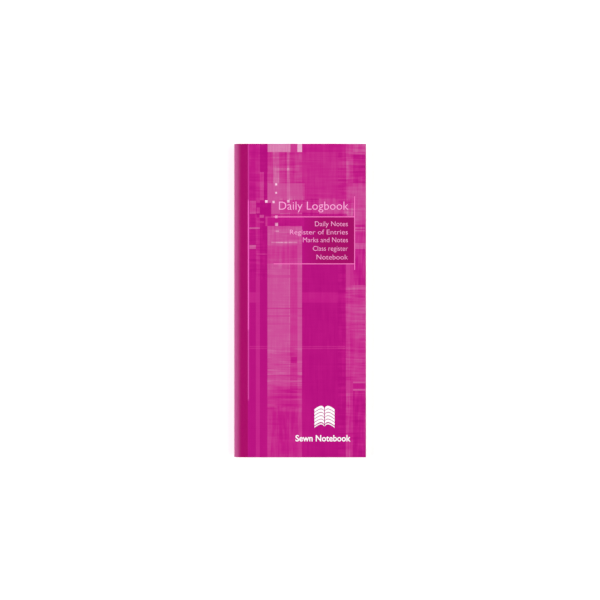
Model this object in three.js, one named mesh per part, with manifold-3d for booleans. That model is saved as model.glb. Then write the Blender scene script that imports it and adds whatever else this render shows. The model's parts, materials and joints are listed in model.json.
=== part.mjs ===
// A slim upright notebook with sewn gatherings, flush card covers and a cloth spine tape.
// Millimetres. It lies on its back cover: +X to the fore edge, +Y to the head, +Z out of the front.
import * as THREE from 'three';
import { mergeVertices } from 'three/addons/utils/BufferGeometryUtils.js';
import Module from 'manifold-3d';

const wasm = await Module();
wasm.setup();

// Overall sizes
const bookWidth = 125; // outermost line of the spine to the fore edge
const bookHeight = 297; // tail to head
const spineRound = 5.6; // how far the rounded spine stands out from the hinge lines

// Covers and spine tape
const coverThickness = 0.5;
const tapeThickness = 0.18;
const tapeReach = 13.1; // outermost line of the spine to the tape's edge on a cover

// Text block
const gatheringCount = 6;
const leavesPerGathering = 16;
const leafThickness = 0.1;
const endpaperThickness = 0.12;

// Spine build-up
const liningThickness = 0.2;
const glueThickness = 0.5;
const threadRadius = 0.18;
const stitchInset = 16; // head or tail edge to the kettle stitch
const threadDepth = 1.1; // spine end of a fold to the thread inside it
const threadExit = 0.55; // kettle stitch's line to the end of a thread

// Clearances
const layerGap = 0.05; // between flat layers that lie on each other
const turnGap = 0.3; // between a piece that turns and the spine
const threadGap = 0.12; // around a thread in its hole or groove

// Fineness of curves
const spineSegments = 40;
const threadSegments = 10;

// Levels of the layers, from the back cover up
const backPastedownZ = coverThickness + layerGap;
const backFlyleafZ = backPastedownZ + endpaperThickness + layerGap;
const blockZ = backFlyleafZ + endpaperThickness + layerGap;
const gatheringThickness = leavesPerGathering * leafThickness;
const gatheringPitch = gatheringThickness + layerGap;
const blockTopZ = blockZ + gatheringCount * gatheringPitch - layerGap;
const frontFlyleafZ = blockTopZ + layerGap;
const frontPastedownZ = frontFlyleafZ + endpaperThickness + layerGap;
const frontCoverZ = frontPastedownZ + endpaperThickness + layerGap;
const bookThickness = frontCoverZ + coverThickness;

// Lines across the width
const spineX = -bookWidth / 2;
const foreX = bookWidth / 2;
const hingeX = spineX + spineRound;
const turningX = hingeX + turnGap; // where covers and leaves begin
const tapeEdgeX = spineX + tapeReach;
const middleZ = bookThickness / 2;

// Half-width and half-height of the ellipses that the spine's layers follow
const tapeOuter = { across: spineRound, up: middleZ };
const tapeInner = inset(tapeOuter, tapeThickness);
const liningOuter = inset(tapeInner, layerGap);
const liningInner = inset(liningOuter, liningThickness);
const glueOuter = inset(liningInner, layerGap);
const foldsOuter = {
  across: glueOuter.across - glueThickness - layerGap,
  up: (blockTopZ - blockZ) / 2 + layerGap,
};
const glueInner = { across: foldsOuter.across + layerGap, up: foldsOuter.up + layerGap };

function inset(ellipse, distance) {
  return { across: ellipse.across - distance, up: ellipse.up - distance };
}

// How far the rounded spine reaches left of the hinge lines at a level
function reachAt(ellipse, z) {
  const share = (z - middleZ) / ellipse.up;
  return ellipse.across * Math.sqrt(Math.max(0, 1 - share * share));
}

// Points of an ellipse's left half, from its level z1 to its level z2
function spineCurve(ellipse, z1, z2, segments) {
  const from = Math.asin(Math.max(-1, (z1 - middleZ) / ellipse.up));
  const to = Math.asin(Math.min(1, (z2 - middleZ) / ellipse.up));
  const points = [];
  for (let i = 0; i <= segments; i++) {
    const angle = from + ((to - from) * i) / segments;
    const x = hingeX - ellipse.across * Math.cos(angle);
    points.push(new THREE.Vector2(x, middleZ + ellipse.up * Math.sin(angle)));
  }
  return points;
}

// An outline in X and Z, run the book's full height along Y
function fullHeight(outline, holes = []) {
  const shape = new THREE.Shape(outline);
  shape.holes = holes;
  const geometry = new THREE.ExtrudeGeometry(shape, { depth: bookHeight, bevelEnabled: false });
  geometry.rotateX(Math.PI / 2);
  geometry.translate(0, bookHeight / 2, 0);
  return geometry;
}

function rectangle(x1, z1, x2, z2) {
  return [
    new THREE.Vector2(x1, z1),
    new THREE.Vector2(x2, z1),
    new THREE.Vector2(x2, z2),
    new THREE.Vector2(x1, z2),
  ];
}

// A curved layer of the spine between two of its ellipses
function spineShell(outer, inner) {
  const outside = spineCurve(outer, middleZ - outer.up, middleZ + outer.up, spineSegments);
  const inside = spineCurve(inner, middleZ - inner.up, middleZ + inner.up, spineSegments);
  return fullHeight([...outside, ...inside.reverse()]);
}

function toSolid(geometry) {
  const plain = geometry.clone();
  plain.deleteAttribute('normal');
  plain.deleteAttribute('uv');
  const merged = mergeVertices(plain);
  return new wasm.Manifold(
    new wasm.Mesh({
      numProp: 3,
      vertProperties: merged.attributes.position.array,
      triVerts: new Uint32Array(merged.index.array),
    }),
  );
}

function toGeometry(solid) {
  const mesh = solid.getMesh();
  const geometry = new THREE.BufferGeometry();
  geometry.setAttribute('position', new THREE.BufferAttribute(mesh.vertProperties, 3));
  geometry.setIndex(new THREE.BufferAttribute(mesh.triVerts, 1));
  geometry.computeVertexNormals();
  return geometry;
}

function cutAway(geometry, cutters) {
  return toGeometry(cutters.reduce((rest, cutter) => rest.subtract(cutter), toSolid(geometry)));
}

// Materials
function material(color, roughness, metalness = 0) {
  return new THREE.MeshStandardMaterial({ color, roughness, metalness });
}

const laminatedCard = () => material(0xbf1482, 0.3);
const wovenTape = () => material(0xa91069, 0.8);
const paper = () => material(0xf3efe4, 0.9);
const endpaper = () => material(0xfaf8f2, 0.85);
const linenThread = () => material(0xe9e2cf, 0.8);
const liningCloth = () => material(0xdcd6c4, 0.95);
const spineGlue = () => material(0xe8dcb8, 0.35);

const notebook = new THREE.Group();

function add(name, geometry, surface) {
  const mesh = new THREE.Mesh(geometry, surface);
  mesh.name = name;
  notebook.add(mesh);
}

// A cover's card, with a step along its spine side that the tape lies in
function coverCard(outsideZ, insideZ) {
  const stepZ = outsideZ + Math.sign(insideZ - outsideZ) * (tapeThickness + layerGap);
  const outline = [
    new THREE.Vector2(turningX, insideZ),
    new THREE.Vector2(foreX, insideZ),
    new THREE.Vector2(foreX, outsideZ),
    new THREE.Vector2(tapeEdgeX + layerGap, outsideZ),
    new THREE.Vector2(tapeEdgeX + layerGap, stepZ),
    new THREE.Vector2(turningX, stepZ),
  ];
  return fullHeight(outline);
}

function addCovers() {
  add('front_cover_card', coverCard(bookThickness, frontCoverZ), laminatedCard());
  add('back_cover_card', coverCard(0, coverThickness), laminatedCard());
}

// One tape wraps the whole spine: its rounded middle and the two flat wings on the covers
function addSpineTape() {
  const wingTop = bookThickness - tapeThickness;
  const frontWing = rectangle(turningX, wingTop, tapeEdgeX, bookThickness);
  const backWing = rectangle(turningX, 0, tapeEdgeX, tapeThickness);
  add('spine_tape_middle', spineShell(tapeOuter, tapeInner), wovenTape());
  add('spine_tape_front_wing', fullHeight(frontWing), wovenTape());
  add('spine_tape_back_wing', fullHeight(backWing), wovenTape());
}

function addSpineLayers() {
  add('spine_lining', spineShell(liningOuter, liningInner), liningCloth());
  add('spine_glue', spineShell(glueOuter, glueInner), spineGlue());
}

function endpaperSheet(z) {
  return fullHeight(rectangle(turningX, z, foreX, z + endpaperThickness));
}

function addEndpapers() {
  add('front_pastedown', endpaperSheet(frontPastedownZ), endpaper());
  add('front_flyleaf', endpaperSheet(frontFlyleafZ), endpaper());
  add('back_flyleaf', endpaperSheet(backFlyleafZ), endpaper());
  add('back_pastedown', endpaperSheet(backPastedownZ), endpaper());
}

// The kettle stitch runs over the folds, along the spine, and links them at head and tail
const stitchLine = {
  across: foldsOuter.across - threadRadius,
  up: foldsOuter.up - threadRadius,
};

class StitchPath extends THREE.Curve {
  constructor(y, overrun) {
    super();
    const lowest = blockZ + gatheringThickness / 2 - overrun;
    const highest = blockTopZ - gatheringThickness / 2 + overrun;
    this.y = y;
    this.from = Math.asin((lowest - middleZ) / stitchLine.up);
    this.to = Math.asin((highest - middleZ) / stitchLine.up);
  }

  getPoint(t, target = new THREE.Vector3()) {
    const angle = this.from + (this.to - this.from) * t;
    const x = hingeX - stitchLine.across * Math.cos(angle);
    return target.set(x, this.y, middleZ + stitchLine.up * Math.sin(angle));
  }
}

function circle(radius) {
  const points = [];
  for (let i = 0; i < threadSegments; i++) {
    const angle = (2 * Math.PI * i) / threadSegments;
    points.push(new THREE.Vector2(radius * Math.cos(angle), radius * Math.sin(angle)));
  }
  return points;
}

function stitch(y, radius, overrun = 0) {
  const section = new THREE.Shape(circle(radius));
  const extrudePath = new StitchPath(y, overrun);
  return new THREE.ExtrudeGeometry(section, { extrudePath, steps: spineSegments });
}

const stitchYs = {
  tail: -bookHeight / 2 + stitchInset,
  head: bookHeight / 2 - stitchInset,
};

// A saw cut across the backs of the folds takes each kettle stitch
const sawCuts = Object.values(stitchYs).map((y) =>
  toSolid(stitch(y, threadRadius + threadGap, threadRadius + threadGap)),
);

function threadX(z) {
  return hingeX - reachAt(foldsOuter, z) + threadDepth;
}

// Where a thread leaves its fold, just short of the kettle stitch
function exitX(z) {
  return hingeX - reachAt(stitchLine, z) + threadExit;
}

function rod(radius, length) {
  return new THREE.CylinderGeometry(radius, radius, length, threadSegments);
}

// The length of thread inside a fold, with its two ends turned out to the kettle stitches
function threadSolid(z, radius, outX) {
  const x = threadX(z);
  const along = rod(radius, stitchYs.head - stitchYs.tail).translate(x, 0, z);
  const ends = Object.values(stitchYs).map((y) => {
    const end = rod(radius, x - outX + radius).rotateZ(Math.PI / 2);
    return toSolid(end.translate((x + radius + outX) / 2, y, z));
  });
  return ends.reduce((whole, end) => whole.add(end), toSolid(along));
}

function sewingThread(z) {
  return toGeometry(threadSolid(z, threadRadius, exitX(z)));
}

// The folded spine side of a gathering, from its hinge line round the back and in again
function foldOutline(z, rightX) {
  const back = spineCurve(foldsOuter, z, z + gatheringThickness, threadSegments);
  const top = new THREE.Vector2(rightX, z + gatheringThickness);
  return [top, ...back.reverse(), new THREE.Vector2(rightX, z)];
}

function fold(z, rightX) {
  const middle = z + gatheringThickness / 2;
  const hole = threadSolid(middle, threadRadius + threadGap, hingeX - reachAt(stitchLine, middle));
  return cutAway(fullHeight(foldOutline(z, rightX)), [hole, ...sawCuts]);
}

function gatheringLeaves(z) {
  return fullHeight(rectangle(turningX, z, foreX, z + gatheringThickness));
}

// The lowest gathering stays with the spine, so its folds and leaves are one piece
function addTextBlock() {
  for (let i = 0; i < gatheringCount; i++) {
    const z = blockZ + i * gatheringPitch;
    const number = i + 1;
    if (i === 0) {
      add(`gathering_${number}`, fold(z, foreX), paper());
    } else {
      add(`gathering_${number}_fold`, fold(z, hingeX), paper());
      add(`gathering_${number}_leaves`, gatheringLeaves(z), paper());
    }
    add(`sewing_thread_${number}`, sewingThread(z + gatheringThickness / 2), linenThread());
  }
}

function addKettleStitches() {
  add('kettle_stitch_tail', stitch(stitchYs.tail, threadRadius), linenThread());
  add('kettle_stitch_head', stitch(stitchYs.head, threadRadius), linenThread());
}

addCovers();
addSpineTape();
addSpineLayers();
addEndpapers();
addTextBlock();
addKettleStitches();

export default notebook;
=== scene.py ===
import json
import math
import random

import bmesh
import bpy
from mathutils import Matrix, Vector


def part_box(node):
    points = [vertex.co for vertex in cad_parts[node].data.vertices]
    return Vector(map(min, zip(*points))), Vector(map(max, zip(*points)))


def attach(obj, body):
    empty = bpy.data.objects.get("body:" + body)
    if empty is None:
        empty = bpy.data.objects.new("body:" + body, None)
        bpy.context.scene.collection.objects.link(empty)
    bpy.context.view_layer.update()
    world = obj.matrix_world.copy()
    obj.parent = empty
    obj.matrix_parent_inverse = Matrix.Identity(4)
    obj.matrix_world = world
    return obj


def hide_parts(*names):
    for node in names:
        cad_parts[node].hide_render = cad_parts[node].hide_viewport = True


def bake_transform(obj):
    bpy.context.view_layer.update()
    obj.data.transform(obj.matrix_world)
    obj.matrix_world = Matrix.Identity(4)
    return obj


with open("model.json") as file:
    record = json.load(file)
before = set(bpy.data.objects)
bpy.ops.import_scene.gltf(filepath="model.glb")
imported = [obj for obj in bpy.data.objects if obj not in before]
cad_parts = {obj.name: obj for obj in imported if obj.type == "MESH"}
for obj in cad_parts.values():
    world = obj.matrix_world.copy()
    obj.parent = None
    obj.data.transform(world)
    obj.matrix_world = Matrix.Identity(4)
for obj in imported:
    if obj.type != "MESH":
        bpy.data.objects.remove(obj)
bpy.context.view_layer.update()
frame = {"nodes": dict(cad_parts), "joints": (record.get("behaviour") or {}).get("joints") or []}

# ---------------------------------------------------------------------------
# Camera. It looks straight down on the closed book through a long lens, with
# the book's head at the top of the picture. Sizes in millimetres times MM are
# metres.
MM = 0.001
cover_low, cover_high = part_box("front_cover_card")
FORE_X, HEAD_Y, TOP_Z = cover_high
TAIL_Y = cover_low.y
FIELD_WIDTH = 568.0 * MM
LENS, SENSOR = 100.0, 36.0
AIM_Y = 0.5 * MM

camera_data = bpy.data.cameras.new("camera")
camera_data.lens = LENS
camera_data.sensor_width = SENSOR
camera_data.clip_end = 50
camera = bpy.data.objects.new("camera", camera_data)
camera.location = (0, AIM_Y, TOP_Z + FIELD_WIDTH * LENS / SENSOR)
bpy.context.scene.collection.objects.link(camera)
bpy.context.scene.camera = camera

# ---------------------------------------------------------------------------
# Gatherings. Each is eight sheets of smooth white paper folded together into
# sixteen leaves, ruled for names and marks, and sewn through the fold. The
# folds stay in the spine, and the leaves bend just beside it.
hinges = {joint["name"]: joint for joint in frame["joints"]}
HINGE_X = hinges["front_cover_hinge"]["pos_m"][0]
MIDDLE_Z = TOP_Z / 2
SHEETS_IN_GATHERING = 8
LEAF_PITCH = 0.1 * MM
LEAF_THICKNESS = 0.088 * MM
FOLD_STEPS = 8
FOLD_CLEARANCE = 0.06 * MM
# The stretch beside the hinge line in which the leaves bend, and the steps of a sheet there and beyond
BEND_WIDTH = 7 * MM
BEND_STEPS = 18
FLAT_STEPS = 5
# How unevenly the guillotine leaves the sheets of a gathering, and the gatherings
TRIM_SPREAD = 0.09 * MM
GATHERING_SPREAD = 0.16 * MM
trimming = random.Random(31)


def linear(hex_colour):
    """A screen colour such as 'f3efe4' as the linear colour that a shader takes."""
    shares = [int(hex_colour[i:i + 2], 16) / 255 for i in (0, 2, 4)]
    return (*[s / 12.92 if s <= 0.04045 else ((s + 0.055) / 1.055) ** 2.4 for s in shares], 1)


def node(tree, kind, inputs=None, **settings):
    """Adds a node, with its settings, and inputs that are either values or sockets."""
    made = tree.nodes.new("ShaderNode" + kind)
    for name, value in settings.items():
        setattr(made, name, value)
    for name, value in (inputs or {}).items():
        if isinstance(value, bpy.types.NodeSocket):
            tree.links.new(value, made.inputs[name])
        else:
            made.inputs[name].default_value = value
    return made


def maths(tree, operation, first, second=0.0, third=0.0, clamp=False):
    """One sum on values or sockets, and the socket of its answer."""
    inputs = {0: first, 1: second}
    if operation == "MULTIPLY_ADD":
        inputs[2] = third
    return node(tree, "Math", inputs, operation=operation, use_clamp=clamp).outputs[0]


def rise(tree, value, at, softness):
    """0 before a value reaches a place, 1 after it, with a soft step between."""
    inputs = {"Value": value, "From Min": at - softness / 2, "From Max": at + softness / 2}
    return node(tree, "MapRange", inputs, clamp=True).outputs[0]


def band(tree, value, low, high, softness):
    """1 where a value lies between two places, and 0 outside them."""
    up = rise(tree, value, low, softness)
    down = rise(tree, value, high, softness)
    return maths(tree, "SUBTRACT", up, down, clamp=True)


def mix(tree, share, first, second):
    """The first colour where the share is 0, and the second where it is 1."""
    inputs = {0: share, 6: first, 7: second}
    return node(tree, "Mix", inputs, data_type="RGBA", clamp_factor=True).outputs[2]


def noise(tree, vector, scale, detail=2.0, roughness=0.5):
    inputs = {"Vector": vector, "Scale": scale, "Detail": detail, "Roughness": roughness}
    return node(tree, "TexNoise", inputs).outputs[0]


def new_material(name):
    material = bpy.data.materials.new(name)
    material.use_nodes = True
    return material, material.node_tree, material.node_tree.nodes["Principled BSDF"]


def bump(tree, shader, height, distance, strength=1.0):
    inputs = {"Height": height, "Distance": distance, "Strength": strength}
    tree.links.new(node(tree, "Bump", inputs).outputs[0], shader.inputs["Normal"])


def sheet_map(tree):
    """The piece's own map in millimetres, so that a pattern stays with a sheet that bends."""
    flat = node(tree, "UVMap", uv_map="sheet").outputs[0]
    in_mm = node(tree, "VectorMath", {0: flat, "Scale": 1000.0}, operation="SCALE").outputs[0]
    parts = node(tree, "SeparateXYZ", {0: in_mm})
    return in_mm, parts.outputs[0], parts.outputs[1]


# The ruling of a page, in millimetres on the flat sheet: rows over the whole page, then a column
# for names on the left and a grid for marks on the right, parted by a margin line
RULE_COLOUR = linear("9fa6cf")
RULE_STRENGTH = 0.75
MARGIN_COLOUR = linear("d98fb4")
MARGIN_STRENGTH = 0.8
ROW_PITCH, COLUMN_PITCH = 8.0, 5.0
ROWS_FROM, ROWS_TO = -138.0, 118.0
NAMES_FROM, NAMES_TO = -44.0, -4.0
MARKS_TO = 61.0
MARGIN_HEAD = ROWS_TO + 16.0
GRID_LEAD, GRID_TRAIL = 0.5, 0.2
RULE_WIDTH, MARGIN_WIDTH = 0.22, 0.4
INK_EDGE = 0.1


def rules(tree, value, pitch, width):
    """Fine lines at an even pitch."""
    place = maths(tree, "PINGPONG", value, pitch / 2)
    return maths(tree, "SUBTRACT", 1.0, rise(tree, place, width / 2, width * 0.5))


def ruled_paper():
    material, tree, shader = new_material("ruled_paper")
    flat, across, up = sheet_map(tree)
    ruled_height = band(tree, up, ROWS_FROM, ROWS_TO, INK_EDGE)
    ruled_width = band(tree, across, NAMES_FROM, MARKS_TO, INK_EDGE)
    grid_left = NAMES_TO - GRID_LEAD
    grid_width = band(tree, across, grid_left, MARKS_TO + GRID_TRAIL, INK_EDGE)
    rows = maths(tree, "MULTIPLY", rules(tree, up, ROW_PITCH, RULE_WIDTH), ruled_width)
    from_names = maths(tree, "SUBTRACT", across, NAMES_TO)
    columns = maths(tree, "MULTIPLY", rules(tree, from_names, COLUMN_PITCH, RULE_WIDTH), grid_width)
    grid = maths(tree, "MULTIPLY", maths(tree, "MAXIMUM", rows, columns), ruled_height)
    head_line = band(tree, up, ROWS_TO - MARGIN_WIDTH / 2, ROWS_TO + MARGIN_WIDTH / 2, INK_EDGE)
    margin_line = band(tree, across, grid_left - MARGIN_WIDTH, grid_left, INK_EDGE)
    margin_height = band(tree, up, ROWS_FROM, MARGIN_HEAD, INK_EDGE)
    margin_line = maths(tree, "MULTIPLY", margin_line, margin_height)
    margins = maths(tree, "MULTIPLY", maths(tree, "MAXIMUM", head_line, margin_line), ruled_width)
    fibres = noise(tree, flat, 0.9, detail=6.0)
    clouds = noise(tree, flat, 0.05, detail=2.0)
    paper_tint = mix(tree, clouds, linear("e6e2da"), linear("eeebe5"))
    paper_tint = mix(tree, maths(tree, "MULTIPLY", fibres, 0.25), paper_tint, linear("d9d4c6"))
    inked = mix(tree, maths(tree, "MULTIPLY", grid, RULE_STRENGTH), paper_tint, RULE_COLOUR)
    inked = mix(tree, maths(tree, "MULTIPLY", margins, MARGIN_STRENGTH), inked, MARGIN_COLOUR)
    tree.links.new(inked, shader.inputs["Base Color"])
    shader.inputs["Roughness"].default_value = 0.72
    shader.inputs["Specular IOR Level"].default_value = 0.25
    bump(tree, shader, fibres, 0.02 * MM)
    return material


def drag(bm, edges, x):
    """Carries the open edge of a sheet to a line across the book."""
    made = bmesh.ops.extrude_edge_only(bm, edges=edges)["geom"]
    points = [g for g in made if isinstance(g, bmesh.types.BMVert)]
    bmesh.ops.translate(bm, verts=points, vec=(x - points[0].co.x, 0, 0))
    return [g for g in made if isinstance(g, bmesh.types.BMEdge) and set(g.verts) <= set(points)]


def drag_through(bm, edges, fore_x):
    """Carries a sheet's edge to the fore edge, in short steps where the sheet bends."""
    stops = [HINGE_X + BEND_WIDTH * i / BEND_STEPS for i in range(BEND_STEPS + 1)]
    flat_from = stops[-1]
    stops += [flat_from + (fore_x - flat_from) * (i + 1) / FLAT_STEPS for i in range(FLAT_STEPS)]
    for stop in stops:
        edges = drag(bm, edges, stop)


def thicken(bm, thickness):
    """Gives a sheet its thickness, with its faces turned outwards."""
    bmesh.ops.recalc_face_normals(bm, faces=bm.faces)
    bmesh.ops.solidify(bm, geom=bm.faces[:], thickness=thickness)
    bmesh.ops.recalc_face_normals(bm, faces=bm.faces)


def edge_along_book(bm, x, z, tail_y, head_y):
    """A straight edge from tail to head, from which a sheet is drawn out."""
    ends = [bm.verts.new((x, tail_y, z)), bm.verts.new((x, head_y, z))]
    return bm.edges.new(ends)


def folded_sheet(fold_x, middle_z, radius, fore_x, tail_y, head_y):
    """One sheet, with its fold on the left and its two leaves running to the fore edge."""
    bm = bmesh.new()
    lower = edge_along_book(bm, fold_x, middle_z - radius, tail_y, head_y)
    around = dict(cent=(fold_x, 0, middle_z), axis=(0, 1, 0), angle=math.pi, steps=FOLD_STEPS)
    spun = bmesh.ops.spin(bm, geom=[*lower.verts, lower], **around)
    upper = [g for g in spun["geom_last"] if isinstance(g, bmesh.types.BMEdge)]
    drag_through(bm, [lower], fore_x)
    drag_through(bm, upper, fore_x)
    thicken(bm, LEAF_THICKNESS)
    return bm


def gather(parts):
    """Puts several loose bodies into one."""
    whole = bmesh.new()
    for part in parts:
        held = bpy.data.meshes.new("held")
        part.to_mesh(held)
        part.free()
        whole.from_mesh(held)
        bpy.data.meshes.remove(held)
    return whole


def map_flat(bm, place=lambda point: (point.x, point.y)):
    """Gives each corner its place on the flat sheet, in metres."""
    layer = bm.loops.layers.uv.new("sheet")
    for face in bm.faces:
        for loop in face.loops:
            loop[layer].uv = place(loop.vert.co)


def make_piece(bm, name, material, smooth_angle=None):
    """The finished piece. Edges flatter than the angle are shaded smooth."""
    mesh = bpy.data.meshes.new(name)
    if smooth_angle is not None:
        for face in bm.faces:
            face.smooth = True
        for edge in bm.edges:
            edge.smooth = len(edge.link_faces) == 2 and edge.calc_face_angle() < smooth_angle
    bm.to_mesh(mesh)
    bm.free()
    piece = bpy.data.objects.new(name, mesh)
    bpy.context.scene.collection.objects.link(piece)
    mesh.materials.append(material)
    return piece


def spine_reach(across, up, z):
    """How far an elliptical layer of the spine stands left of the hinge line at a level."""
    return across * math.sqrt(max(0, 1 - ((z - MIDDLE_Z) / up) ** 2))


block_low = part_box("gathering_1")[0]
block_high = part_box("gathering_6_leaves")[1]
FOLDS_ACROSS = HINGE_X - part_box("gathering_3_fold")[0].x
FOLDS_UP = (block_high.z - block_low.z) / 2 + 0.05 * MM
PAPER_SMOOTH = math.radians(40)
page_paper = ruled_paper()


def bound_gathering(number, low_z, high_z):
    """Eight sheets folded one inside another, with the folds up against the rounded spine."""
    middle_z = (low_z + high_z) / 2
    radius = SHEETS_IN_GATHERING * LEAF_PITCH - LEAF_PITCH / 2
    outer_z = low_z if middle_z < MIDDLE_Z else high_z
    room = min(
        spine_reach(FOLDS_ACROSS, FOLDS_UP, middle_z) - radius,
        spine_reach(FOLDS_ACROSS, FOLDS_UP, outer_z),
    )
    fold_x = HINGE_X - room + FOLD_CLEARANCE
    slip = trimming.uniform(0, GATHERING_SPREAD)
    sheets = []
    for i in range(SHEETS_IN_GATHERING):
        trims = [trimming.uniform(0, TRIM_SPREAD) for _ in range(3)]
        sheet_radius = radius - i * LEAF_PITCH
        edges = (FORE_X - slip - trims[0], TAIL_Y + trims[1], HEAD_Y - trims[2])
        sheets.append(folded_sheet(fold_x, middle_z, sheet_radius, *edges))
    bm = gather(sheets)
    map_flat(bm)
    return make_piece(bm, f"gathering_{number}_sheets", page_paper, PAPER_SMOOTH)


first_low, first_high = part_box("gathering_1")
first_gathering = bound_gathering(1, first_low.z, first_high.z)
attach(first_gathering, "spine_block")
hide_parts("gathering_1")
for number in range(2, 7):
    leaves_low, leaves_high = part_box(f"gathering_{number}_leaves")
    gathering = bound_gathering(number, leaves_low.z, leaves_high.z)
    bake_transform(gathering)
    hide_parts(f"gathering_{number}_fold", f"gathering_{number}_leaves")

# ---------------------------------------------------------------------------
# Sewing. A linen thread runs inside each fold and comes out at head and tail,
# where a kettle stitch ties it to the next gathering.


def linen_thread():
    material, tree, shader = new_material("linen_thread")
    place = node(tree, "TexCoord").outputs["Object"]
    wave_inputs = {"Vector": place, "Scale": 900.0, "Distortion": 1.5, "Detail": 1.0}
    twist = node(tree, "TexWave", wave_inputs, bands_direction="DIAGONAL").outputs[1]
    tint = mix(tree, twist, linear("d8cfb6"), linear("efe8d6"))
    tree.links.new(tint, shader.inputs["Base Color"])
    shader.inputs["Roughness"].default_value = 0.7
    shader.inputs["Sheen Weight"].default_value = 0.3
    bump(tree, shader, twist, 0.05 * MM)
    return material


def finish_cad_nodes(names, material):
    for name in names:
        frame["nodes"][name].data.materials.clear()
        frame["nodes"][name].data.materials.append(material)


threads = [f"sewing_thread_{number}" for number in range(1, 7)]
finish_cad_nodes([*threads, "kettle_stitch_tail", "kettle_stitch_head"], linen_thread())

# ---------------------------------------------------------------------------
# Endpapers. A folded sheet of stout white paper at each end of the block: one
# half is pasted inside the cover, and the other is the loose flyleaf.
ENDPAPER_THICKNESS = 0.1 * MM
ENDPAPER_FOLD_REACH = 0.5 * MM
CREASE_WIDTH = 0.3 * MM
PAPER_CREASE_STEPS = 4


def stout_paper():
    material, tree, shader = new_material("endpaper")
    flat = sheet_map(tree)[0]
    fibres = noise(tree, flat, 1.3, detail=7.0, roughness=0.6)
    clouds = noise(tree, flat, 0.04)
    tint = mix(tree, clouds, linear("e8e4da"), linear("f0ede5"))
    tint = mix(tree, maths(tree, "MULTIPLY", fibres, 0.22), tint, linear("d9d3c5"))
    tree.links.new(tint, shader.inputs["Base Color"])
    shader.inputs["Roughness"].default_value = 0.8
    shader.inputs["Specular IOR Level"].default_value = 0.2
    bump(tree, shader, fibres, 0.03 * MM)
    return material


endpaper = stout_paper()


def endpaper_half(name, cad_node, creased):
    """One half of an endpaper. The pasted half creases sharply, and the loose half bends."""
    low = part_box(cad_node)[0]
    bm = bmesh.new()
    edges = [edge_along_book(bm, HINGE_X - ENDPAPER_FOLD_REACH, low.z, TAIL_Y, HEAD_Y)]
    if creased:
        for i in range(PAPER_CREASE_STEPS + 1):
            edges = drag(bm, edges, HINGE_X + CREASE_WIDTH * i / PAPER_CREASE_STEPS)
        drag(bm, edges, FORE_X)
    else:
        drag_through(bm, edges, FORE_X)
    thicken(bm, ENDPAPER_THICKNESS)
    bottom = min(vert.co.z for vert in bm.verts)
    bmesh.ops.translate(bm, verts=bm.verts, vec=(0, 0, low.z - bottom))
    map_flat(bm)
    piece = make_piece(bm, name, endpaper)
    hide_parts(cad_node)
    return piece


front_pastedown = endpaper_half("front_pastedown_paper", "front_pastedown", True)
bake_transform(front_pastedown)
front_flyleaf = endpaper_half("front_flyleaf_paper", "front_flyleaf", False)
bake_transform(front_flyleaf)
back_flyleaf = endpaper_half("back_flyleaf_paper", "back_flyleaf", False)
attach(back_flyleaf, "spine_block")
back_pastedown = endpaper_half("back_pastedown_paper", "back_pastedown", True)
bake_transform(back_pastedown)

# ---------------------------------------------------------------------------
# Spine glue and lining. Glue is brushed over the sewn folds, and a strip of
# open mull cloth is set into it. Only their ends show, at head and tail.
MULL_HALF_PITCH = 0.4 * MM


def dried_glue():
    material, tree, shader = new_material("spine_glue")
    place = node(tree, "TexCoord").outputs["Object"]
    brushed = noise(tree, place, 600.0, detail=4.0)
    tree.links.new(mix(tree, brushed, linear("d9cba0"), linear("efe5c6")), shader.inputs["Base Color"])
    shader.inputs["Roughness"].default_value = 0.35
    bump(tree, shader, brushed, 0.1 * MM)
    return material


def mull_cloth():
    material, tree, shader = new_material("mull_cloth")
    place = node(tree, "TexCoord").outputs["Object"]
    parts = node(tree, "SeparateXYZ", {0: place})
    threads_along = maths(tree, "PINGPONG", parts.outputs[1], MULL_HALF_PITCH)
    height = maths(tree, "MULTIPLY", threads_along, 1 / MULL_HALF_PITCH)
    tree.links.new(mix(tree, height, linear("bdb59c"), linear("e6dfca")), shader.inputs["Base Color"])
    shader.inputs["Roughness"].default_value = 0.95
    bump(tree, shader, height, 0.1 * MM)
    return material


finish_cad_nodes(["spine_glue"], dried_glue())
finish_cad_nodes(["spine_lining"], mull_cloth())

# ---------------------------------------------------------------------------
# Covers. Each is stiff card, printed on the outside with a woven pattern of
# magenta bands, laminated with clear gloss film and cut flush with the pages.
# The pattern is one lightness over the card, from deep magenta to pale pink.
TAPE_EDGE_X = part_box("spine_tape_front_wing")[1].x
CARD_BEVEL = 0.06 * MM
SHARP_CORNER = math.radians(57)
CARD_SMOOTH = math.radians(50)
STEP_DEPTH = 0.23 * MM
FILM_DEPTH = 0.07
CUT_MARGIN = 0.2
# Lightness of the print, and its ink: from the deepest magenta to bare pale pink
INKS = (
    (0.0, "b0067a"), (0.2, "bf1784"), (0.4, "c7338d"), (0.6, "ca4f97"), (0.8, "d274a8"), (1.0, "fbd0ea"),
)
# Upright bands from the spine to the fore edge: where each ends in millimetres, and its lightness
BANDS = (
    (-41.8, 0.08), (-38.0, 0.27), (-30.8, 0.05), (-10.4, 0.6), (-9.4, 0.65), (-2.4, 0.42),
    (1.9, 0.6), (43.4, 0.07), (47.4, 0.42), (50.3, 0.34), (62.5, 0.4),
)
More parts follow.
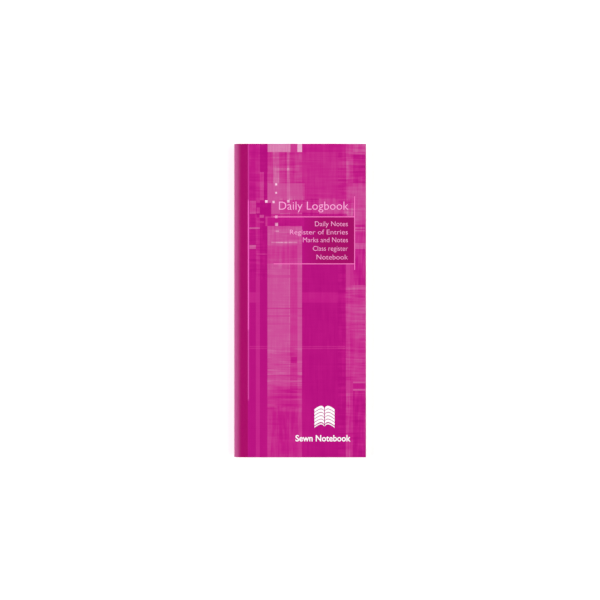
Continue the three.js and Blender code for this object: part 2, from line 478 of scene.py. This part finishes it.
# Patches over the bands: left, right, tail side, head side, lightness, and how well it covers
PATCHES = (
    (-48.2, -41.8, 95.0, 151.0, 0.2, 0.9),
    (-37.9, -34.2, 95.0, 121.5, 0.48, 0.9),
    (1.9, 43.4, 96.0, 151.0, 0.3, 1.0),
    (1.9, 43.4, 140.6, 151.0, 0.22, 1.0),
    (-30.8, 1.9, 111.0, 140.6, 0.41, 0.9),
    (-25.7, -19.7, 111.0, 140.6, 0.71, 0.8),
    (-12.3, -9.6, 111.0, 140.6, 0.64, 0.85),
    (-5.2, -3.2, 111.0, 140.6, 0.45, 0.8),
    (-2.4, 1.9, 111.0, 140.6, 0.42, 0.6),
    (-30.4, -9.0, 140.6, 151.0, 0.81, 0.95),
    (-2.4, 1.9, 140.6, 151.0, 0.92, 0.9),
    (-30.3, 4.3, 95.4, 111.0, 0.6, 0.92),
    (-12.3, -9.6, 95.4, 111.0, 0.72, 0.7),
    (-19.0, 51.6, 83.0, 95.4, 0.4, 0.8),
    (18.0, 51.6, 82.0, 96.5, 0.52, 0.9),
    (-27.2, -19.0, 81.5, 95.4, 0.56, 0.85),
    (-30.0, 51.4, 79.6, 82.0, 0.2, 0.7),
    (-47.6, -41.8, 82.0, 94.5, 0.56, 0.9),
    (-41.2, -27.2, 78.5, 92.5, 0.02, 1.0),
    (-41.0, -38.0, 82.5, 88.0, 0.55, 0.8),
    (-38.2, -34.2, 78.5, 81.0, 0.64, 0.8),
    (-32.7, -27.4, 70.5, 79.5, 0.5, 0.8),
    (-41.0, -34.0, 73.5, 75.0, 0.4, 0.8),
    (-30.8, 4.0, 70.4, 78.6, 0.15, 0.9),
    (-30.3, 0.4, 52.3, 70.2, 0.6, 0.92),
    (-27.0, -2.5, 54.4, 55.6, 0.84, 0.8),
    (-24.0, -20.0, 65.2, 66.2, 0.85, 0.7),
    (-48.0, -38.0, 67.8, 69.2, 0.75, 0.8),
    (-47.9, -41.8, 49.0, 52.6, 0.68, 0.9),
    (-41.0, -19.0, 43.3, 44.4, 0.42, 0.8),
    (-30.8, -9.4, 35.0, 52.3, 0.45, 0.9),
    (-30.8, -9.4, 21.5, 24.5, 0.45, 0.6),
    (-48.1, -38.2, -2.0, 7.8, 0.3, 0.8),
    (1.9, 43.4, -2.0, 7.8, 0.22, 1.0),
    (-30.8, 1.9, -8.2, -6.9, 0.4, 0.8),
    (-30.8, 1.9, -15.3, -14.0, 0.46, 0.7),
    (-30.8, -9.0, -23.0, -21.5, 0.5, 0.6),
    (-48.1, 43.0, -44.0, -43.2, 0.66, 0.35),
    (-48.1, 43.0, -45.8, -45.0, 0.66, 0.35),
    (-8.5, -2.8, -59.3, -53.4, 0.2, 0.9),
    (-30.8, 1.9, -73.0, -70.5, 0.35, 0.6),
    (-30.8, 1.9, -77.4, -75.8, 0.62, 0.8),
    (-30.8, 1.9, -85.8, -84.2, 0.56, 0.8),
    (-24.0, -11.0, -100.0, -94.0, 0.46, 0.7),
    (-30.0, -10.0, -154.0, -141.0, 0.42, 0.6),
    (43.4, 50.3, 111.0, 151.0, 0.52, 0.8),
    (50.3, 62.5, 140.6, 151.0, 0.68, 0.7),
    (50.3, 62.5, 111.2, 138.0, 0.28, 0.9),
    (45.0, 62.5, 71.8, 111.0, 0.54, 0.9),
    (50.3, 62.5, 69.6, 71.8, 0.2, 0.9),
    (50.3, 62.5, 54.6, 69.4, 0.3, 0.8),
    (50.3, 62.5, 68.2, 69.2, 0.68, 0.8),
    (50.3, 62.5, 65.6, 66.6, 0.68, 0.8),
    (50.3, 62.5, 49.0, 54.4, 0.6, 0.9),
    (50.3, 62.5, 14.6, 48.8, 0.2, 0.95),
    (45.0, 62.5, -28.0, 14.6, 0.46, 0.9),
    (50.3, 62.5, -83.6, -78.4, 0.15, 0.9),
    (50.3, 62.5, -78.2, -76.8, 0.62, 0.9),
    (50.3, 62.5, -154.0, -85.6, 0.15, 0.9),
    (50.3, 62.5, -85.2, -83.8, 0.64, 0.9),
)
# Small bright squares of bare card: across, up, and side
SPARKS = (
    (-22.6, 110.0, 2.0), (-22.6, 102.0, 1.7), (-31.9, 93.8, 2.3), (-25.0, 93.3, 2.2),
    (-11.2, 93.9, 2.4), (-22.4, 79.2, 2.2), (-22.2, 72.1, 2.8),
)
SPARK_LIGHTNESS = 0.94
# Crossed threads: left, right, tail side, head side, share of warp, share of weft
PLAIDS = (
    (-30.8, 1.9, 111.0, 140.6, 0.18, 0.24),
    (1.9, 43.4, 96.0, 151.0, 0.09, 0.09),
    (36.0, 43.4, -150.0, 140.0, 0.05, 0.16),
    (43.4, 62.5, 111.0, 151.0, 0.16, 0.34),
    (-30.3, 4.3, 95.4, 111.0, 0.1, 0.06),
    (-30.8, 1.9, -45.0, 30.0, 0.05, 0.07),
    (43.4, 62.5, 70.0, 111.0, 0.14, 0.2),
    (-19.0, 51.6, 80.0, 96.5, 0.22, 0.16),
    (-30.3, 1.9, 30.0, 79.0, 0.14, 0.14),
    (50.3, 62.5, 14.6, 70.0, 0.34, 0.08),
    (43.4, 62.5, -76.0, 14.6, 0.12, 0.3),
    (43.4, 62.5, -154.0, -85.6, 0.24, 0.24),
    (-30.8, 1.9, -105.0, -45.0, 0.06, 0.26),
    (-30.8, 1.9, -154.0, -100.0, 0.2, 0.08),
    (1.9, 43.4, -154.0, 35.0, 0.07, 0.03),
    (-48.2, -30.8, 20.0, 151.0, 0.1, 0.18),
)
# A band that darkens towards the tail: its four sides, lightness, how well it covers, and softness
FADING_BAND = (-30.8, 1.9, -154.0, -84.0, 0.2, 0.92, 26.0)
# Crossed threads: width in millimetres, and seed
WARP_THREADS = ((2.4, 0.3), (0.95, 7.1))
WEFT_THREADS = ((3.1, 2.6), (1.05, 5.2))
WIDTHS_WANDER_OVER = 4
WIDTHS_WANDER_BY = 3.0
THREAD_APART = 5.37
STRETCH_LENGTH = 26.0
# Streaks in the ink: size across and up in millimetres, seed, and strength
INK_STREAKS = ((0.7, 900.0, 1.0, 0.16), (400.0, 0.9, 2.0, 0.12), (14.0, 20.0, 3.0, 0.08))
# A painted highlight beside the tape, a bright line in the card's colour: its two sides, and its tail
# side, head side and strength in parts
TAPE_EDGE_HIGHLIGHT_COLOUR = linear("f062c0")
TAPE_EDGE_HIGHLIGHT_SIDES = (-49.6, -48.25)
TAPE_EDGE_HIGHLIGHT_PARTS = ((95.0, 152.0, 0.28), (-28.0, 95.0, 0.95), (-94.0, -28.0, 0.46), (-152.0, -94.0, 0.02))
# The dark label behind the small lines: its four sides, and how it fades in from the left
LABEL_COLOUR = linear("a40966")
LABEL_AREA = (4.0, 51.4, 35.2, 78.7)
LABEL_FADE_MIDDLE, LABEL_FADE_WIDTH = 12.0, 22.0


def cell_lightness(x, y):
    """Lightness of the print at a place: its band, with the patches laid over it in turn."""
    value = next((lightness for right, lightness in BANDS if x < right), BANDS[-1][1])
    for left, right, tail, head, lightness, cover in PATCHES:
        if left < x < right and tail < y < head:
            value += (lightness - value) * cover
    for spark_x, spark_y, side in SPARKS:
        if abs(x - spark_x) < side / 2 and abs(y - spark_y) < side / 2:
            value = SPARK_LIGHTNESS
    return value


def cell_thread_shares(x, y):
    """How strongly the warp and the weft show at a place."""
    warp_share, weft_share = 0.0, 0.0
    for left, right, tail, head, warp, weft in PLAIDS:
        if left < x < right and tail < y < head:
            warp_share += warp
            weft_share += weft
    return warp_share, weft_share


def slice_along(bm, places, direction):
    """Cuts the card across at each place, so that the pattern's edges fall on its own edges."""
    for place in sorted(places):
        cut = dict(plane_co=direction * place * MM, plane_no=direction, dist=1e-7)
        bmesh.ops.bisect_plane(bm, geom=[*bm.verts, *bm.edges, *bm.faces], **cut)


def lay_out_print(bm):
    """Slices the card into the cells of the pattern and gives each its lightness and threads."""
    boxes = [patch[:4] for patch in (*PATCHES, *PLAIDS)]
    boxes += [(x - side / 2, x + side / 2, y - side / 2, y + side / 2) for x, y, side in SPARKS]
    across_lines = {right for right, _ in BANDS} | {x for box in boxes for x in box[:2]}
    up_lines = {y for box in boxes for y in box[2:]}
    last_x, last_y = FORE_X / MM - CUT_MARGIN, HEAD_Y / MM - CUT_MARGIN
    slice_along(bm, [x for x in across_lines if abs(x) < last_x], Vector((1, 0, 0)))
    slice_along(bm, [y for y in up_lines if abs(y) < last_y], Vector((0, 1, 0)))
    names = ("lightness", "warp_share", "weft_share")
    layers = [bm.faces.layers.float.new(name) for name in names]
    for face in bm.faces:
        middle = face.calc_center_median() / MM
        values = (cell_lightness(middle.x, middle.y), *cell_thread_shares(middle.x, middle.y))
        for layer, value in zip(layers, values):
            face[layer] = value


def window(tree, across, up, left, right, tail, head, softness):
    """1 inside an upright rectangle, and 0 outside it."""
    wide = band(tree, across, left, right, softness)
    return maths(tree, "MULTIPLY", wide, band(tree, up, tail, head, softness))


def cell_value(tree, name):
    """A value that each cell of the sliced card carries."""
    return node(tree, "Attribute", attribute_name=name).outputs["Fac"]


def streaks(tree, across, up, across_size, up_size, seed):
    """Threads: a noise drawn out along one side and fine along the other, around nought."""
    drawn_across = maths(tree, "DIVIDE", across, across_size)
    drawn_up = maths(tree, "DIVIDE", up, up_size)
    place = node(tree, "CombineXYZ", {"X": drawn_across, "Y": drawn_up, "Z": seed}).outputs[0]
    return maths(tree, "SUBTRACT", noise(tree, place, 1.0, detail=3.0, roughness=0.6), 0.5)


def threads_side_by_side(tree, across, along, width, seed):
    """Threads of uneven width, each lighter in some stretches and darker in others, around nought."""
    slow = maths(tree, "DIVIDE", across, width * WIDTHS_WANDER_OVER)
    spot = node(tree, "CombineXYZ", {"X": slow, "Y": seed}).outputs[0]
    wander = maths(tree, "MULTIPLY_ADD", noise(tree, spot, 1.0, detail=0.0), WIDTHS_WANDER_BY, seed)
    number = maths(tree, "FLOOR", maths(tree, "MULTIPLY_ADD", across, 1 / width, wander))
    thread = maths(tree, "MULTIPLY", number, THREAD_APART)
    stretch = maths(tree, "DIVIDE", along, STRETCH_LENGTH)
    place = node(tree, "CombineXYZ", {"X": thread, "Y": stretch, "Z": seed}).outputs[0]
    return maths(tree, "MULTIPLY_ADD", noise(tree, place, 1.0, detail=2.0), 2.0, -1.03)


def broad_and_fine_threads(tree, across, along, kinds):
    broad, fine = [threads_side_by_side(tree, across, along, *kind) for kind in kinds]
    return maths(tree, "ADD", broad, fine)


def woven_lightness(tree, across, up):
    """The whole pattern: the cells, a band that fades towards the tail, and crossed threads."""
    value = cell_value(tree, "lightness")
    *edges, lightness, cover, softness = FADING_BAND
    share = maths(tree, "MULTIPLY", window(tree, across, up, *edges, softness), cover)
    change = maths(tree, "SUBTRACT", lightness, value)
    value = maths(tree, "MULTIPLY_ADD", change, share, value)
    warp = broad_and_fine_threads(tree, across, up, WARP_THREADS)
    weft = broad_and_fine_threads(tree, up, across, WEFT_THREADS)
    value = maths(tree, "MULTIPLY_ADD", warp, cell_value(tree, "warp_share"), value)
    value = maths(tree, "MULTIPLY_ADD", weft, cell_value(tree, "weft_share"), value)
    for across_size, up_size, seed, strength in INK_STREAKS:
        drawn = streaks(tree, across, up, across_size, up_size, seed)
        value = maths(tree, "MULTIPLY_ADD", drawn, strength, value)
    return value


def blended_colours(tree, value, stops):
    """Colours that run into one another, each at its own value."""
    ramp = node(tree, "ValToRGB", {0: value})
    elements = ramp.color_ramp.elements
    for i, (position, colour) in enumerate(stops):
        stop = elements[i] if i < len(elements) else elements.new(1.0)
        stop.position = position
        stop.color = colour
    return ramp.outputs[0]


def laminated_print(name, labelled, printed_side):
    """Print, a painted highlight beside the tape, and film on the outer face. The cut edges of the card
    stay bare.
    """
    material, tree, shader = new_material(name)
    place = node(tree, "TexCoord").outputs["Object"]
    in_mm = node(tree, "VectorMath", {0: place, "Scale": 1000.0}, operation="SCALE").outputs[0]
    parts = node(tree, "SeparateXYZ", {0: in_mm})
    across, up, level = parts.outputs[0], parts.outputs[1], parts.outputs[2]
    inks = [(position, linear(colour)) for position, colour in INKS]
    tint = blended_colours(tree, woven_lightness(tree, across, up), inks)
    # Painted highlight along the tape's edge, brightest midway along the book
    edge_highlight = band(tree, across, *TAPE_EDGE_HIGHLIGHT_SIDES, 0.1)
    for tail, head, strength in TAPE_EDGE_HIGHLIGHT_PARTS:
        here = maths(tree, "MULTIPLY", edge_highlight, band(tree, up, tail, head, 3.0))
        tint = mix(tree, maths(tree, "MULTIPLY", here, strength), tint, TAPE_EDGE_HIGHLIGHT_COLOUR)
    if labelled:
        fade = rise(tree, across, LABEL_FADE_MIDDLE, LABEL_FADE_WIDTH)
        here = window(tree, across, up, *LABEL_AREA, 0.4)
        tint = mix(tree, maths(tree, "MULTIPLY", fade, here), tint, LABEL_COLOUR)
    if printed_side > 0:
        printed = rise(tree, level, TOP_Z / MM - FILM_DEPTH, 0.02)
    else:
        printed = maths(tree, "SUBTRACT", 1.0, rise(tree, level, FILM_DEPTH, 0.02))
    card_core = mix(tree, noise(tree, in_mm, 3.0, detail=5.0), linear("dfd9cb"), linear("ece7db"))
    tree.links.new(mix(tree, printed, card_core, tint), shader.inputs["Base Color"])
    film = noise(tree, in_mm, 0.035, detail=2.0)
    grain = noise(tree, in_mm, 2.2, detail=3.0)
    gloss = node(tree, "MapRange", {"Value": grain, "To Min": 0.26, "To Max": 0.38}).outputs[0]
    tree.links.new(gloss, shader.inputs["Roughness"])
    tree.links.new(maths(tree, "MULTIPLY", printed, 0.16), shader.inputs["Coat Weight"])
    shader.inputs["Specular IOR Level"].default_value = 0.14
    shader.inputs["Coat Roughness"].default_value = 0.14
    height = maths(tree, "MULTIPLY_ADD", grain, 0.02, film)
    bump(tree, shader, height, 0.5 * MM, 0.6)
    return material


def cover_card(name, cad_node, outside_z, inside_z, material):
    """The card, with the shallow step along its spine side that the tape is pressed into."""
    low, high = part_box(cad_node)
    inward = math.copysign(1, inside_z - outside_z)
    step_z = outside_z + inward * STEP_DEPTH
    corners = [
        (low.x, inside_z), (high.x, inside_z), (high.x, outside_z),
        (TAPE_EDGE_X, outside_z), (TAPE_EDGE_X, step_z), (low.x, step_z),
    ]
    bm = bmesh.new()
    outline = bm.faces.new([bm.verts.new((x, low.y, z)) for x, z in corners])
    made = bmesh.ops.extrude_face_region(bm, geom=[outline])["geom"]
    points = [g for g in made if isinstance(g, bmesh.types.BMVert)]
    bmesh.ops.translate(bm, verts=points, vec=(0, high.y - low.y, 0))
    bmesh.ops.recalc_face_normals(bm, faces=bm.faces)
    sharp = [e for e in bm.edges if e.calc_face_angle() > SHARP_CORNER]
    rim = [e for e in sharp if max(vert.co.x for vert in e.verts) == high.x]
    cut = dict(offset=CARD_BEVEL, segments=2, profile=0.5, affect="EDGES", material=-1)
    bmesh.ops.bevel(bm, geom=rim, **cut)
    lay_out_print(bm)
    piece = make_piece(bm, name, material, CARD_SMOOTH)
    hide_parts(cad_node)
    return piece


front_print = laminated_print("front_print", True, 1)
front_card = cover_card("front_cover_board", "front_cover_card", TOP_Z, cover_low.z, front_print)
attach(front_card, "front_cover")
back_print = laminated_print("back_print", False, -1)
back_inside_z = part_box("back_cover_card")[1].z
back_card = cover_card("back_cover_board", "back_cover_card", 0, back_inside_z, back_print)
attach(back_card, "back_cover")

# ---------------------------------------------------------------------------
# Lettering. A plain title, five short lines, two rules with a margin line, and
# a sign of an open book, printed on the front cover in pale inks.
INK_THICKNESS = 0.02 * MM
LETTER_CURVE_STEPS = 4


def printing_ink(name, colour):
    material, tree, shader = new_material(name)
    place = node(tree, "TexCoord").outputs["Object"]
    speckle = noise(tree, place, 2500.0, detail=2.0)
    tint = mix(tree, maths(tree, "MULTIPLY", speckle, 0.12), linear(colour), linear("d870ae"))
    tree.links.new(tint, shader.inputs["Base Color"])
    shader.inputs["Roughness"].default_value = 0.3
    shader.inputs["Specular IOR Level"].default_value = 0.3
    return material


pale_ink = printing_ink("pale_pink_ink", "fbaadd")
rule_ink = printing_ink("pink_rule_ink", "f878c4")
white_ink = printing_ink("white_ink", "ffffff")


def lay_on_cover(piece):
    """Printed pieces turn with the cover."""
    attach(piece, "front_cover")


def letters_as_mesh(words, heaviness):
    """Letters one unit deep, as a mesh. A positive heaviness thickens their strokes."""
    curve = bpy.data.curves.new("letters", "FONT")
    curve.body = words
    curve.align_x = "RIGHT"
    curve.offset = heaviness
    curve.resolution_u = LETTER_CURVE_STEPS
    curve.extrude = 0.5
    outline = bpy.data.objects.new("letters", curve)
    bpy.context.scene.collection.objects.link(outline)
    bpy.context.view_layer.update()
    depsgraph = bpy.context.evaluated_depsgraph_get()
    mesh = bpy.data.meshes.new_from_object(outline.evaluated_get(depsgraph))
    bpy.data.objects.remove(outline)
    return mesh


def printed_words(name, words, left_x, right_x, baseline_y, cap_height, heaviness, material):
    """Letters of ink that fill the width between two places, given in millimetres."""
    mesh = letters_as_mesh(words, heaviness)
    mesh.name = name
    left = min(vert.co.x for vert in mesh.vertices)
    right = max(vert.co.x for vert in mesh.vertices)
    tallest = max(vert.co.y for vert in mesh.vertices)
    wide = (right_x - left_x) * MM / (right - left)
    high = cap_height * MM / tallest
    place = Matrix.Translation((right_x * MM, baseline_y * MM, TOP_Z + INK_THICKNESS / 2))
    size = Matrix.Diagonal((wide, high, INK_THICKNESS, 1))
    mesh.transform(place @ size @ Matrix.Translation((-right, 0, 0)))
    piece = bpy.data.objects.new(name, mesh)
    bpy.context.scene.collection.objects.link(piece)
    mesh.materials.append(material)
    lay_on_cover(piece)


def printed_bar(name, left, right, tail, head, material):
    """A straight line of ink."""
    bm = bmesh.new()
    bmesh.ops.create_cube(bm, size=1)
    bmesh.ops.scale(bm, verts=bm.verts, vec=(right - left, head - tail, INK_THICKNESS))
    centre = ((left + right) / 2, (tail + head) / 2, TOP_Z + INK_THICKNESS / 2)
    bmesh.ops.translate(bm, verts=bm.verts, vec=centre)
    lay_on_cover(make_piece(bm, name, material))


printed_words("title_lettering", "Daily Logbook", -19.9, 45.9, 86.0, 7.6, -0.006, pale_ink)
# Small lines, flush on the right: words, left end in millimetres, and baseline
LINES_RIGHT, LINES_CAP_HEIGHT, LINES_HEAVINESS = 45.3, 4.5, -0.008
SMALL_LINES = (
    ("Daily Notes", 14.2, 70.4),
    ("Register of Entries", -9.5, 62.6),
    ("Marks and Notes", 2.8, 55.2),
    ("Class register", 12.3, 47.1),
    ("Notebook", 15.7, 38.9),
)
for number, (words, left_x, baseline_y) in enumerate(SMALL_LINES, start=1):
    sizes = (left_x, LINES_RIGHT, baseline_y, LINES_CAP_HEIGHT, LINES_HEAVINESS)
    printed_words(f"small_lettering_{number}", words, *sizes, pale_ink)
printed_words("foot_lettering", "Sewn Notebook", -4.3, 47.9, -133.2, 5.9, 0.02, white_ink)

RULE_THICKNESS = 0.75 * MM
RULES_LEFT, RULES_RIGHT = -25.0 * MM, 51.35 * MM
MARGIN_RULE_TAIL, MARGIN_RULE_HEAD = 29.0 * MM, 98.6 * MM
for name, tail in (("upper_rule", 78.85 * MM), ("lower_rule", 34.35 * MM)):
    printed_bar(name, RULES_LEFT, RULES_RIGHT, tail, tail + RULE_THICKNESS, rule_ink)
margin_sides = (RULES_RIGHT, RULES_RIGHT + RULE_THICKNESS, MARGIN_RULE_TAIL, MARGIN_RULE_HEAD)
printed_bar("margin_rule", *margin_sides, rule_ink)

SIGN_CENTRE = Vector((23.2 * MM, -110.2 * MM, TOP_Z))
PAGE_WIDTH, PAGE_GAP = 9.2 * MM, 0.7 * MM
PAGE_BOW = 2.4 * MM
PAGE_BAR_STEPS = 14
# Bars of each page from the foot upwards: where it starts, and its height
PAGE_BARS = ((-9.0, 1.1), (-6.9, 2.6), (-3.7, 2.6), (-0.5, 2.6), (2.7, 2.6), (5.9, 2.6))


def page_bar(side, foot, height):
    """One bar of an open page, bowed up beside the fold like a page that lies open."""
    bm = bmesh.new()
    bmesh.ops.create_grid(bm, x_segments=PAGE_BAR_STEPS, y_segments=1, size=0.5)
    bmesh.ops.scale(bm, verts=bm.verts, vec=(PAGE_WIDTH, height, 1))
    for vert in bm.verts:
        outward = max(0, 0.5 + side * vert.co.x / PAGE_WIDTH)
        vert.co.y += PAGE_BOW * (math.sin(math.pi * outward ** 0.7) - 0.5 * outward)
    made = bmesh.ops.extrude_face_region(bm, geom=bm.faces[:])["geom"]
    points = [g for g in made if isinstance(g, bmesh.types.BMVert)]
    bmesh.ops.translate(bm, verts=points, vec=(0, 0, INK_THICKNESS))
    bmesh.ops.recalc_face_normals(bm, faces=bm.faces)
    place = Vector((side * (PAGE_WIDTH + PAGE_GAP) / 2, foot + height / 2, 0))
    bmesh.ops.translate(bm, verts=bm.verts, vec=SIGN_CENTRE + place)
    return bm


bars = []
for side in (-1, 1):
    bars += [page_bar(side, foot * MM, height * MM) for foot, height in PAGE_BARS]
lay_on_cover(make_piece(gather(bars), "open_book_sign", white_ink))

# ---------------------------------------------------------------------------
# Spine tape. One strip of dyed book cloth, glued round the rounded spine and
# onto both covers, over the cards' inner edges. It creases at the two hinges, and a highlight is painted
# round the spine.
TAPE_THICKNESS = 0.18 * MM
TAPE_ROUND_STEPS = 18
TAPE_CREASE_STEPS = 6
# Half the pitch of the cloth's threads, in millimetres
WARP_HALF_PITCH, WEFT_HALF_PITCH = 0.21, 0.23
# A painted highlight makes the cloth paler round the spine, and this far in millimetres past its
# shoulders, at this strength
SPINE_HIGHLIGHT_REACH = 2.0
SPINE_HIGHLIGHT_STRENGTH = 0.34
# The painted highlight is weaker on the middle of the spine's back: its share of the round, and of the
# highlight there
BACK_SHARE, BACK_HIGHLIGHT = 0.3, 0.4
DYED_DARK, DYED_LIGHT = linear("9c005e"), linear("b4006e")
# The colour of the painted highlight round the spine
SPINE_HIGHLIGHT_COLOUR = linear("cd7db4")
SPINE_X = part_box("spine_tape_middle")[0].x
SPINE_ROUND = HINGE_X - SPINE_X
QUARTER_ARC = math.pi / 2 * math.sqrt((SPINE_ROUND ** 2 + MIDDLE_Z ** 2) / 2)


def book_cloth():
    material, tree, shader = new_material("book_cloth")
    flat, around, along = sheet_map(tree)
    warp = maths(tree, "PINGPONG", around, WARP_HALF_PITCH)
    weft = maths(tree, "PINGPONG", along, WEFT_HALF_PITCH)
    threads_up = maths(tree, "MULTIPLY", warp, 1 / WARP_HALF_PITCH)
    threads_across = maths(tree, "MULTIPLY", weft, 1 / WEFT_HALF_PITCH)
    weave = maths(tree, "MULTIPLY", threads_up, threads_across)
    slub = streaks(tree, around, along, 0.5, 14.0, 5.0)
    cross_slub = streaks(tree, around, along, 12.0, 0.6, 6.0)
    shade = maths(tree, "MULTIPLY_ADD", weave, 0.35, 0.35)
    shade = maths(tree, "MULTIPLY_ADD", slub, 0.7, shade)
    shade = maths(tree, "MULTIPLY_ADD", cross_slub, 0.6, shade)
    dyed = mix(tree, shade, DYED_DARK, DYED_LIGHT)
    # Painted highlight: paler round the spine's shoulders, weaker on the middle of its back, broken by
    # the slubs
    from_middle = maths(tree, "ABSOLUTE", around)
    shoulder = QUARTER_ARC / MM
    back = shoulder * BACK_SHARE
    inputs = {"Value": from_middle, "From Min": shoulder + SPINE_HIGHLIGHT_REACH, "From Max": back}
    spine_highlight = node(tree, "MapRange", inputs, clamp=True, interpolation_type="SMOOTHSTEP").outputs[0]
    off_back = node(tree, "MapRange", {"Value": from_middle, "From Max": back}).outputs[0]
    highlight_share = maths(tree, "MULTIPLY_ADD", off_back, 1 - BACK_HIGHLIGHT, BACK_HIGHLIGHT)
    spine_highlight = maths(tree, "MULTIPLY", spine_highlight, highlight_share)
    spine_highlight = maths(tree, "MULTIPLY", spine_highlight, maths(tree, "MULTIPLY_ADD", slub, 0.5, SPINE_HIGHLIGHT_STRENGTH))
    tree.links.new(mix(tree, spine_highlight, dyed, SPINE_HIGHLIGHT_COLOUR), shader.inputs["Base Color"])
    shader.inputs["Roughness"].default_value = 0.4
    shader.inputs["Specular IOR Level"].default_value = 0.14
    shader.inputs["Sheen Weight"].default_value = 0.05
    shader.inputs["Sheen Roughness"].default_value = 0.3
    bump(tree, shader, weave, 0.06 * MM, 0.8)
    return material


def place_on_tape(point):
    """Unrolls the tape: its distance round from the middle of the spine, and along it."""
    side = math.copysign(1, point.z - MIDDLE_Z)
    if point.x > HINGE_X:
        return side * (QUARTER_ARC + point.x - HINGE_X), point.y
    turn = math.atan2(abs(point.z - MIDDLE_Z) / MIDDLE_Z, (HINGE_X - point.x) / SPINE_ROUND)
    return side * QUARTER_ARC * turn / (math.pi / 2), point.y


def tape_half(name, side, material):
    """Half of the tape, from the middle of the spine to its edge on one cover."""
    bm = bmesh.new()
    start = edge_along_book(bm, SPINE_X, MIDDLE_Z, TAIL_Y, HEAD_Y)
    quarter = dict(axis=(0, 1, 0), angle=math.pi / 2, steps=TAPE_ROUND_STEPS)
    spun = bmesh.ops.spin(bm, geom=[*start.verts, start], cent=(HINGE_X, 0, MIDDLE_Z), **quarter)
    edges = [g for g in spun["geom_last"] if isinstance(g, bmesh.types.BMEdge)]
    lift = MIDDLE_Z / SPINE_ROUND
    centre = Matrix.Translation((0, 0, -MIDDLE_Z))
    bmesh.ops.scale(bm, verts=bm.verts, vec=(1, 1, lift), space=centre)
    for i in range(TAPE_CREASE_STEPS):
        edges = drag(bm, edges, HINGE_X + CREASE_WIDTH * (i + 1) / TAPE_CREASE_STEPS)
    drag(bm, edges, TAPE_EDGE_X)
    thicken(bm, TAPE_THICKNESS)
    for vert in bm.verts:
        vert.co.z = MIDDLE_Z + side * (vert.co.z - MIDDLE_Z)
    bmesh.ops.recalc_face_normals(bm, faces=bm.faces)
    map_flat(bm, place_on_tape)
    piece = make_piece(bm, name, material, PAPER_SMOOTH)
    return piece


cloth = book_cloth()
front_tape = tape_half("spine_tape_front_half", 1, cloth)
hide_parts("spine_tape_middle", "spine_tape_front_wing")
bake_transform(front_tape)
back_tape = tape_half("spine_tape_back_half", -1, cloth)
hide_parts("spine_tape_back_wing")
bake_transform(back_tape)

# ---------------------------------------------------------------------------
# Studio. A plain white table under a pale dome, with broad soft lights from both
# sides and the head, low enough that none is mirrored in the cover from above.
FLOOR_SIDE = 30.0
LIGHT_SPREAD = math.radians(40)
# Lights: name, where each comes from, and its strength
LIGHTS = (
    ("left_light", (-1.9, 0.2, 1.5), 1.95),
    ("right_light", (1.9, -0.2, 1.5), 1.55),
    ("head_light", (0.0, 2.1, 1.5), 0.75),
)
# The sine of a height above the horizon, and the dome's brightness there
DOME = ((0.0, 1.0), (0.13, 1.0), (0.24, 0.6), (0.45, 0.42), (0.8, 0.06))


def table_top():
    material, tree, shader = new_material("white_table")
    shader.inputs["Base Color"].default_value = (0.9, 0.9, 0.9, 1)
    shader.inputs["Roughness"].default_value = 0.9
    shader.inputs["Specular IOR Level"].default_value = 0.0
    shader.inputs["Emission Color"].default_value = (1, 1, 1, 1)
    shader.inputs["Emission Strength"].default_value = 0.3
    return material


def studio_floor():
    bm = bmesh.new()
    bmesh.ops.create_grid(bm, x_segments=1, y_segments=1, size=FLOOR_SIDE / 2)
    mesh = bpy.data.meshes.new("floor")
    bm.to_mesh(mesh)
    bm.free()
    mesh.materials.append(table_top())
    floor = bpy.data.objects.new("floor", mesh)
    bpy.context.scene.collection.objects.link(floor)


def soft_light(name, comes_from, strength):
    """A broad, distant light, so that the whole table is lit evenly."""
    data = bpy.data.lights.new(name, "SUN")
    data.angle = LIGHT_SPREAD
    data.energy = strength
    light = bpy.data.objects.new(name, data)
    light.location = comes_from
    light.rotation_euler = Vector(comes_from).to_track_quat("Z", "Y").to_euler()
    bpy.context.scene.collection.objects.link(light)


def pale_dome():
    """White at the horizon and dim overhead."""
    world = bpy.data.worlds.new("studio_dome")
    world.use_nodes = True
    tree = world.node_tree
    up = node(tree, "SeparateXYZ", {0: node(tree, "TexCoord").outputs["Generated"]}).outputs[2]
    greys = [(height, (level, level, level, 1)) for height, level in DOME]
    brightness = blended_colours(tree, up, greys)
    tree.links.new(brightness, tree.nodes["Background"].inputs["Color"])
    bpy.context.scene.world = world


studio_floor()
pale_dome()
for name, comes_from, strength in LIGHTS:
    soft_light(name, comes_from, strength)
bpy.context.scene.view_settings.view_transform = "Standard"
